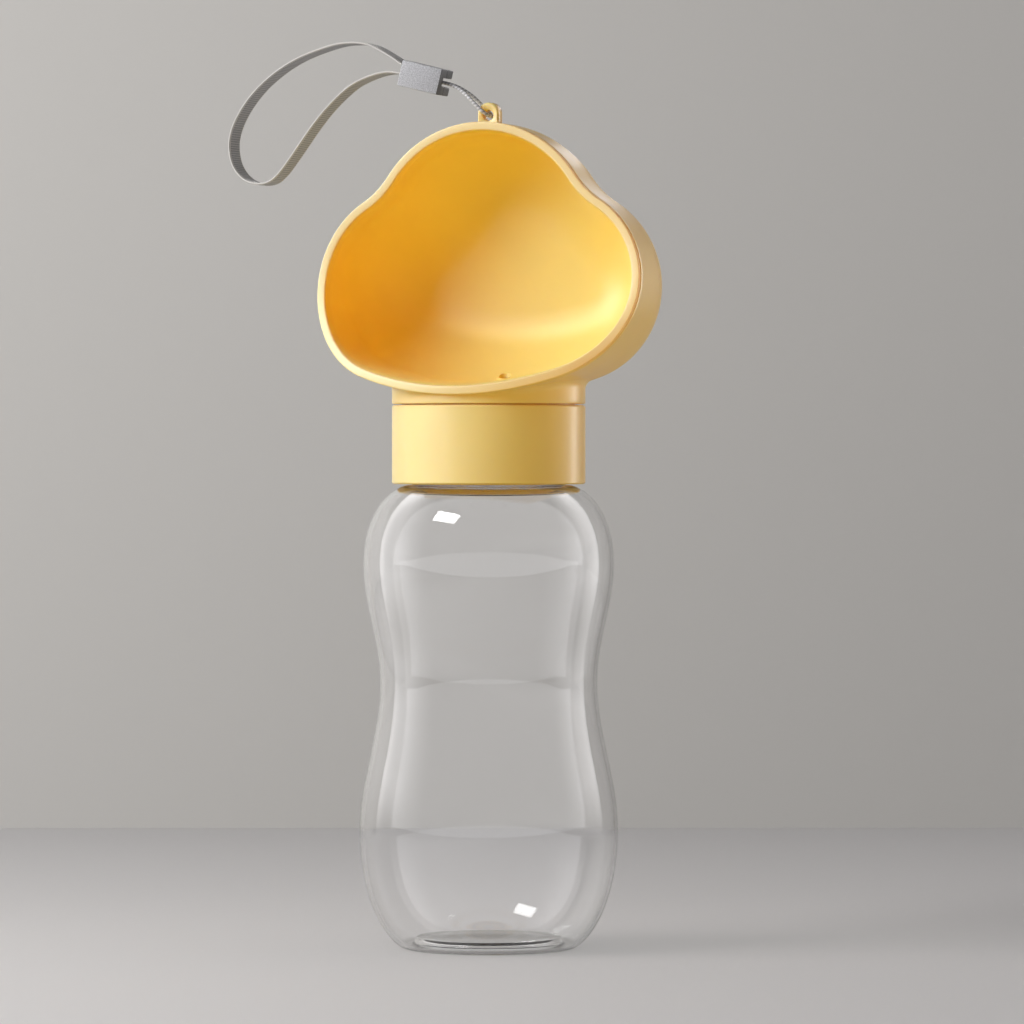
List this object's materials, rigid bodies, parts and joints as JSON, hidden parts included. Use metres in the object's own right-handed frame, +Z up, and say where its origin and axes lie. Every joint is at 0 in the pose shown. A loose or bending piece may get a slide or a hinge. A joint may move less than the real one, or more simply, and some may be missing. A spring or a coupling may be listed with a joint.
{
  "type": "dog travel water bottle",
  "caption": "Clear waisted bottle with a screw collar and a twist-to-open drinking bowl shaped like a cloud, with a wrist strap.",
  "frame": {"origin": "centre of the bottle's foot, on the plane that it stands on", "axes": "+Z up along the bottle's axis; the bowl opens towards -Y; +X to the right as seen from the bowl's open side, so the strap stands out towards -X"},
  "size_m": [0.1127, 0.065, 0.2286],
  "materials": {
    "clear_plastic": "clear, glossy",
    "amber_plastic": "satin",
    "bowl_plastic": "satin",
    "silicone": "soft, matte",
    "dark_rubber": "matte",
    "stainless": "bright",
    "cord": "braided",
    "clasp_plastic": "satin",
    "webbing": "ribbed"
  },
  "bodies": {
    "bottle": {"bottle": "clear_plastic"},
    "gasket": {"neck_gasket": "silicone"},
    "collar": {"collar": "amber_plastic", "port_seal": "silicone", "vent_valve": "silicone", "pivot_o_ring": "dark_rubber"},
    "bowl": {"rotor": "amber_plastic", "rotor_screws": "stainless", "pivot_screw": "stainless", "pivot_washer": "stainless", "stem_o_ring": "dark_rubber", "outlet_tube": "silicone", "bowl_shell": "amber_plastic", "bowl_liner": "bowl_plastic"},
    "strap": {"strap_cord": "cord", "clasp_front": "clasp_plastic", "clasp_back": "clasp_plastic", "webbing_loop": "webbing"}
  },
  "joints": [
    {"name": "collar_lift", "type": "slide", "parent": "bottle", "child": "gasket", "axis": [0, 0, 1], "range_m": [0, 0.0081]},
    {"name": "collar_unscrew", "type": "hinge", "parent": "gasket", "child": "collar", "pos_m": [0, 0, 0.1296], "axis": [0, 0, 1], "range_deg": [0, 720]},
    {"name": "bowl_twist", "type": "hinge", "parent": "collar", "child": "bowl", "pos_m": [0, 0, 0.1325], "axis": [0, 0, 1], "range_deg": [0, 90]},
    {"name": "strap_swing", "type": "hinge", "parent": "bowl", "child": "strap", "pos_m": [0, 0.001, 0.2093], "axis": [0, 1, 0], "range_deg": [-27, 150]}
  ],
  "couplings": [
    {"joint": "collar_lift", "follows": "collar_unscrew", "m_per_rad": 0.00063662}
  ]
}
